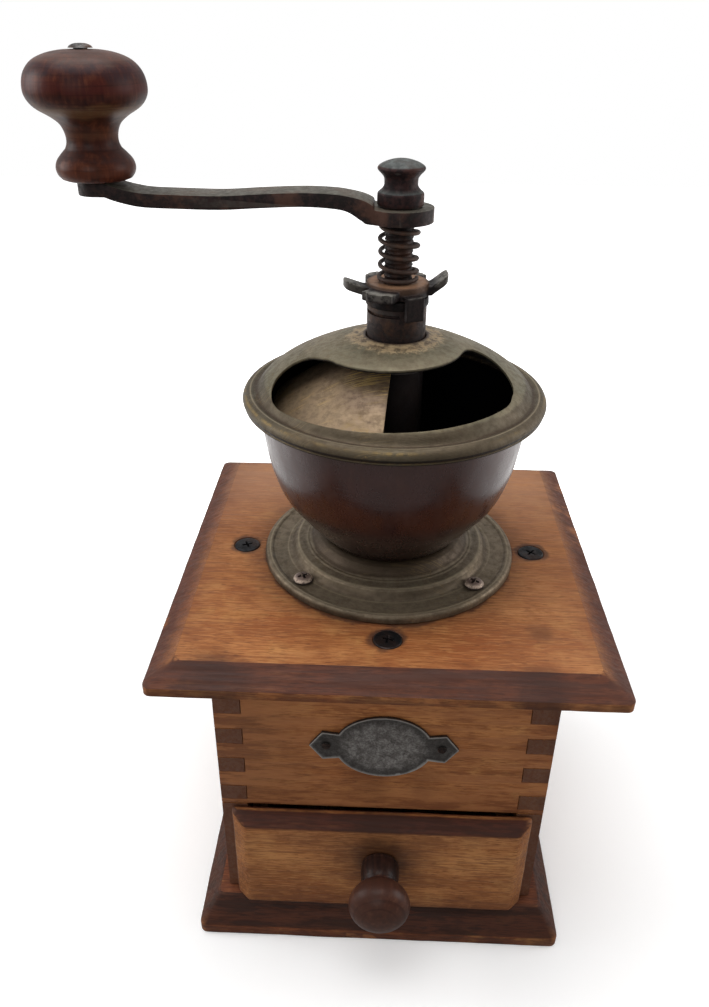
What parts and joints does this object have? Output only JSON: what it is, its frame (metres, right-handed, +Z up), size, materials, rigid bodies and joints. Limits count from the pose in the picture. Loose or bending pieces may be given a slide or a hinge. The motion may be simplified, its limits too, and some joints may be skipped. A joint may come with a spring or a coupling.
{
  "type": "manual coffee grinder",
  "caption": "Hand-cranked box coffee grinder: finger-jointed wooden box with a drawer, spun metal hopper with a shutter, and a bent crank with a wooden knob.",
  "frame": {"origin": "middle of the underside of the base board", "axes": "+Z up along the shaft, -Y towards the drawer's front, the crank rests along -X"},
  "size_m": [0.1713, 0.1535, 0.2806],
  "materials": {
    "wood": "old varnished honey-brown wood with dark worn edges",
    "drawer_wood": "plain unvarnished wood",
    "knob_wood": "glossy dark red-brown stained wood",
    "brass": "aged olive-grey brass, worn golden in places",
    "bowl_metal": "dark brown lacquered sheet, half gloss",
    "iron": "dark rusty brown iron",
    "steel": "dull brown-grey steel with some rust",
    "black_steel": "blackened steel",
    "pewter": "dark grey cast plate with a lighter worn border"
  },
  "bodies": {
    "housing": {"back_board": "wood", "badge_nail_left": "iron", "badge_nail_right": "iron", "badge_plate": "pewter", "base_plate": "wood", "base_screw_left_back": "black_steel", "base_screw_left_front": "black_steel", "base_screw_right_back": "black_steel", "base_screw_right_front": "black_steel", "bearing_tube": "iron", "bridge": "iron", "bridge_screw_left": "steel", "bridge_screw_right": "steel", "flange_ring": "brass", "flange_screw_1": "steel", "flange_screw_2": "steel", "flange_screw_3": "steel", "flange_screw_4": "steel", "front_board": "wood", "grinding_ring": "iron", "hopper_bowl": "bowl_metal", "hopper_cover": "brass", "hopper_rivet_1": "iron", "hopper_rivet_2": "iron", "hopper_rivet_3": "iron", "hopper_rivet_4": "iron", "plate_screw_back": "black_steel", "plate_screw_front": "black_steel", "plate_screw_left": "black_steel", "plate_screw_right": "black_steel", "ring_screw_1": "steel", "ring_screw_2": "steel", "ring_screw_3": "steel", "shutter_clip": "iron", "side_board_left": "wood", "side_board_right": "wood", "top_plate": "wood", "tube_collar": "iron"},
    "drawer": {"drawer_front": "wood", "drawer_side_left": "drawer_wood", "drawer_side_right": "drawer_wood", "drawer_back": "drawer_wood", "drawer_bottom": "drawer_wood", "drawer_knob": "knob_wood", "drawer_knob_screw": "steel"},
    "crank": {"shaft": "iron", "grinding_cone": "iron", "cone_nut": "iron", "crank_arm": "iron", "cap_nut": "iron", "knob_pin": "steel", "spring": "steel"},
    "nut": {"adjusting_nut": "iron"},
    "knob_body": {"knob": "knob_wood"},
    "shutter_body": {"shutter": "brass"}
  },
  "joints": [
    {"name": "drawer_slide", "type": "slide", "parent": "housing", "child": "drawer", "axis": [0, -1, 0], "range_m": [0, 0.08]},
    {"name": "crank_turn", "type": "hinge", "parent": "housing", "child": "crank", "pos_m": [0, 0, 0.2], "axis": [0, 0, 1], "continuous": true},
    {"name": "nut_turn", "type": "hinge", "parent": "crank", "child": "nut", "pos_m": [0, 0, 0.218], "axis": [0, 0, 1], "range_deg": [-180, 180]},
    {"name": "knob_spin", "type": "hinge", "parent": "crank", "child": "knob_body", "pos_m": [-0.085, 0, 0.26], "axis": [0, 0, 1], "continuous": true},
    {"name": "shutter_swivel", "type": "hinge", "parent": "housing", "child": "shutter_body", "pos_m": [0, 0, 0.2], "axis": [0, 0, 1], "range_deg": [-72, 92]}
  ]
}
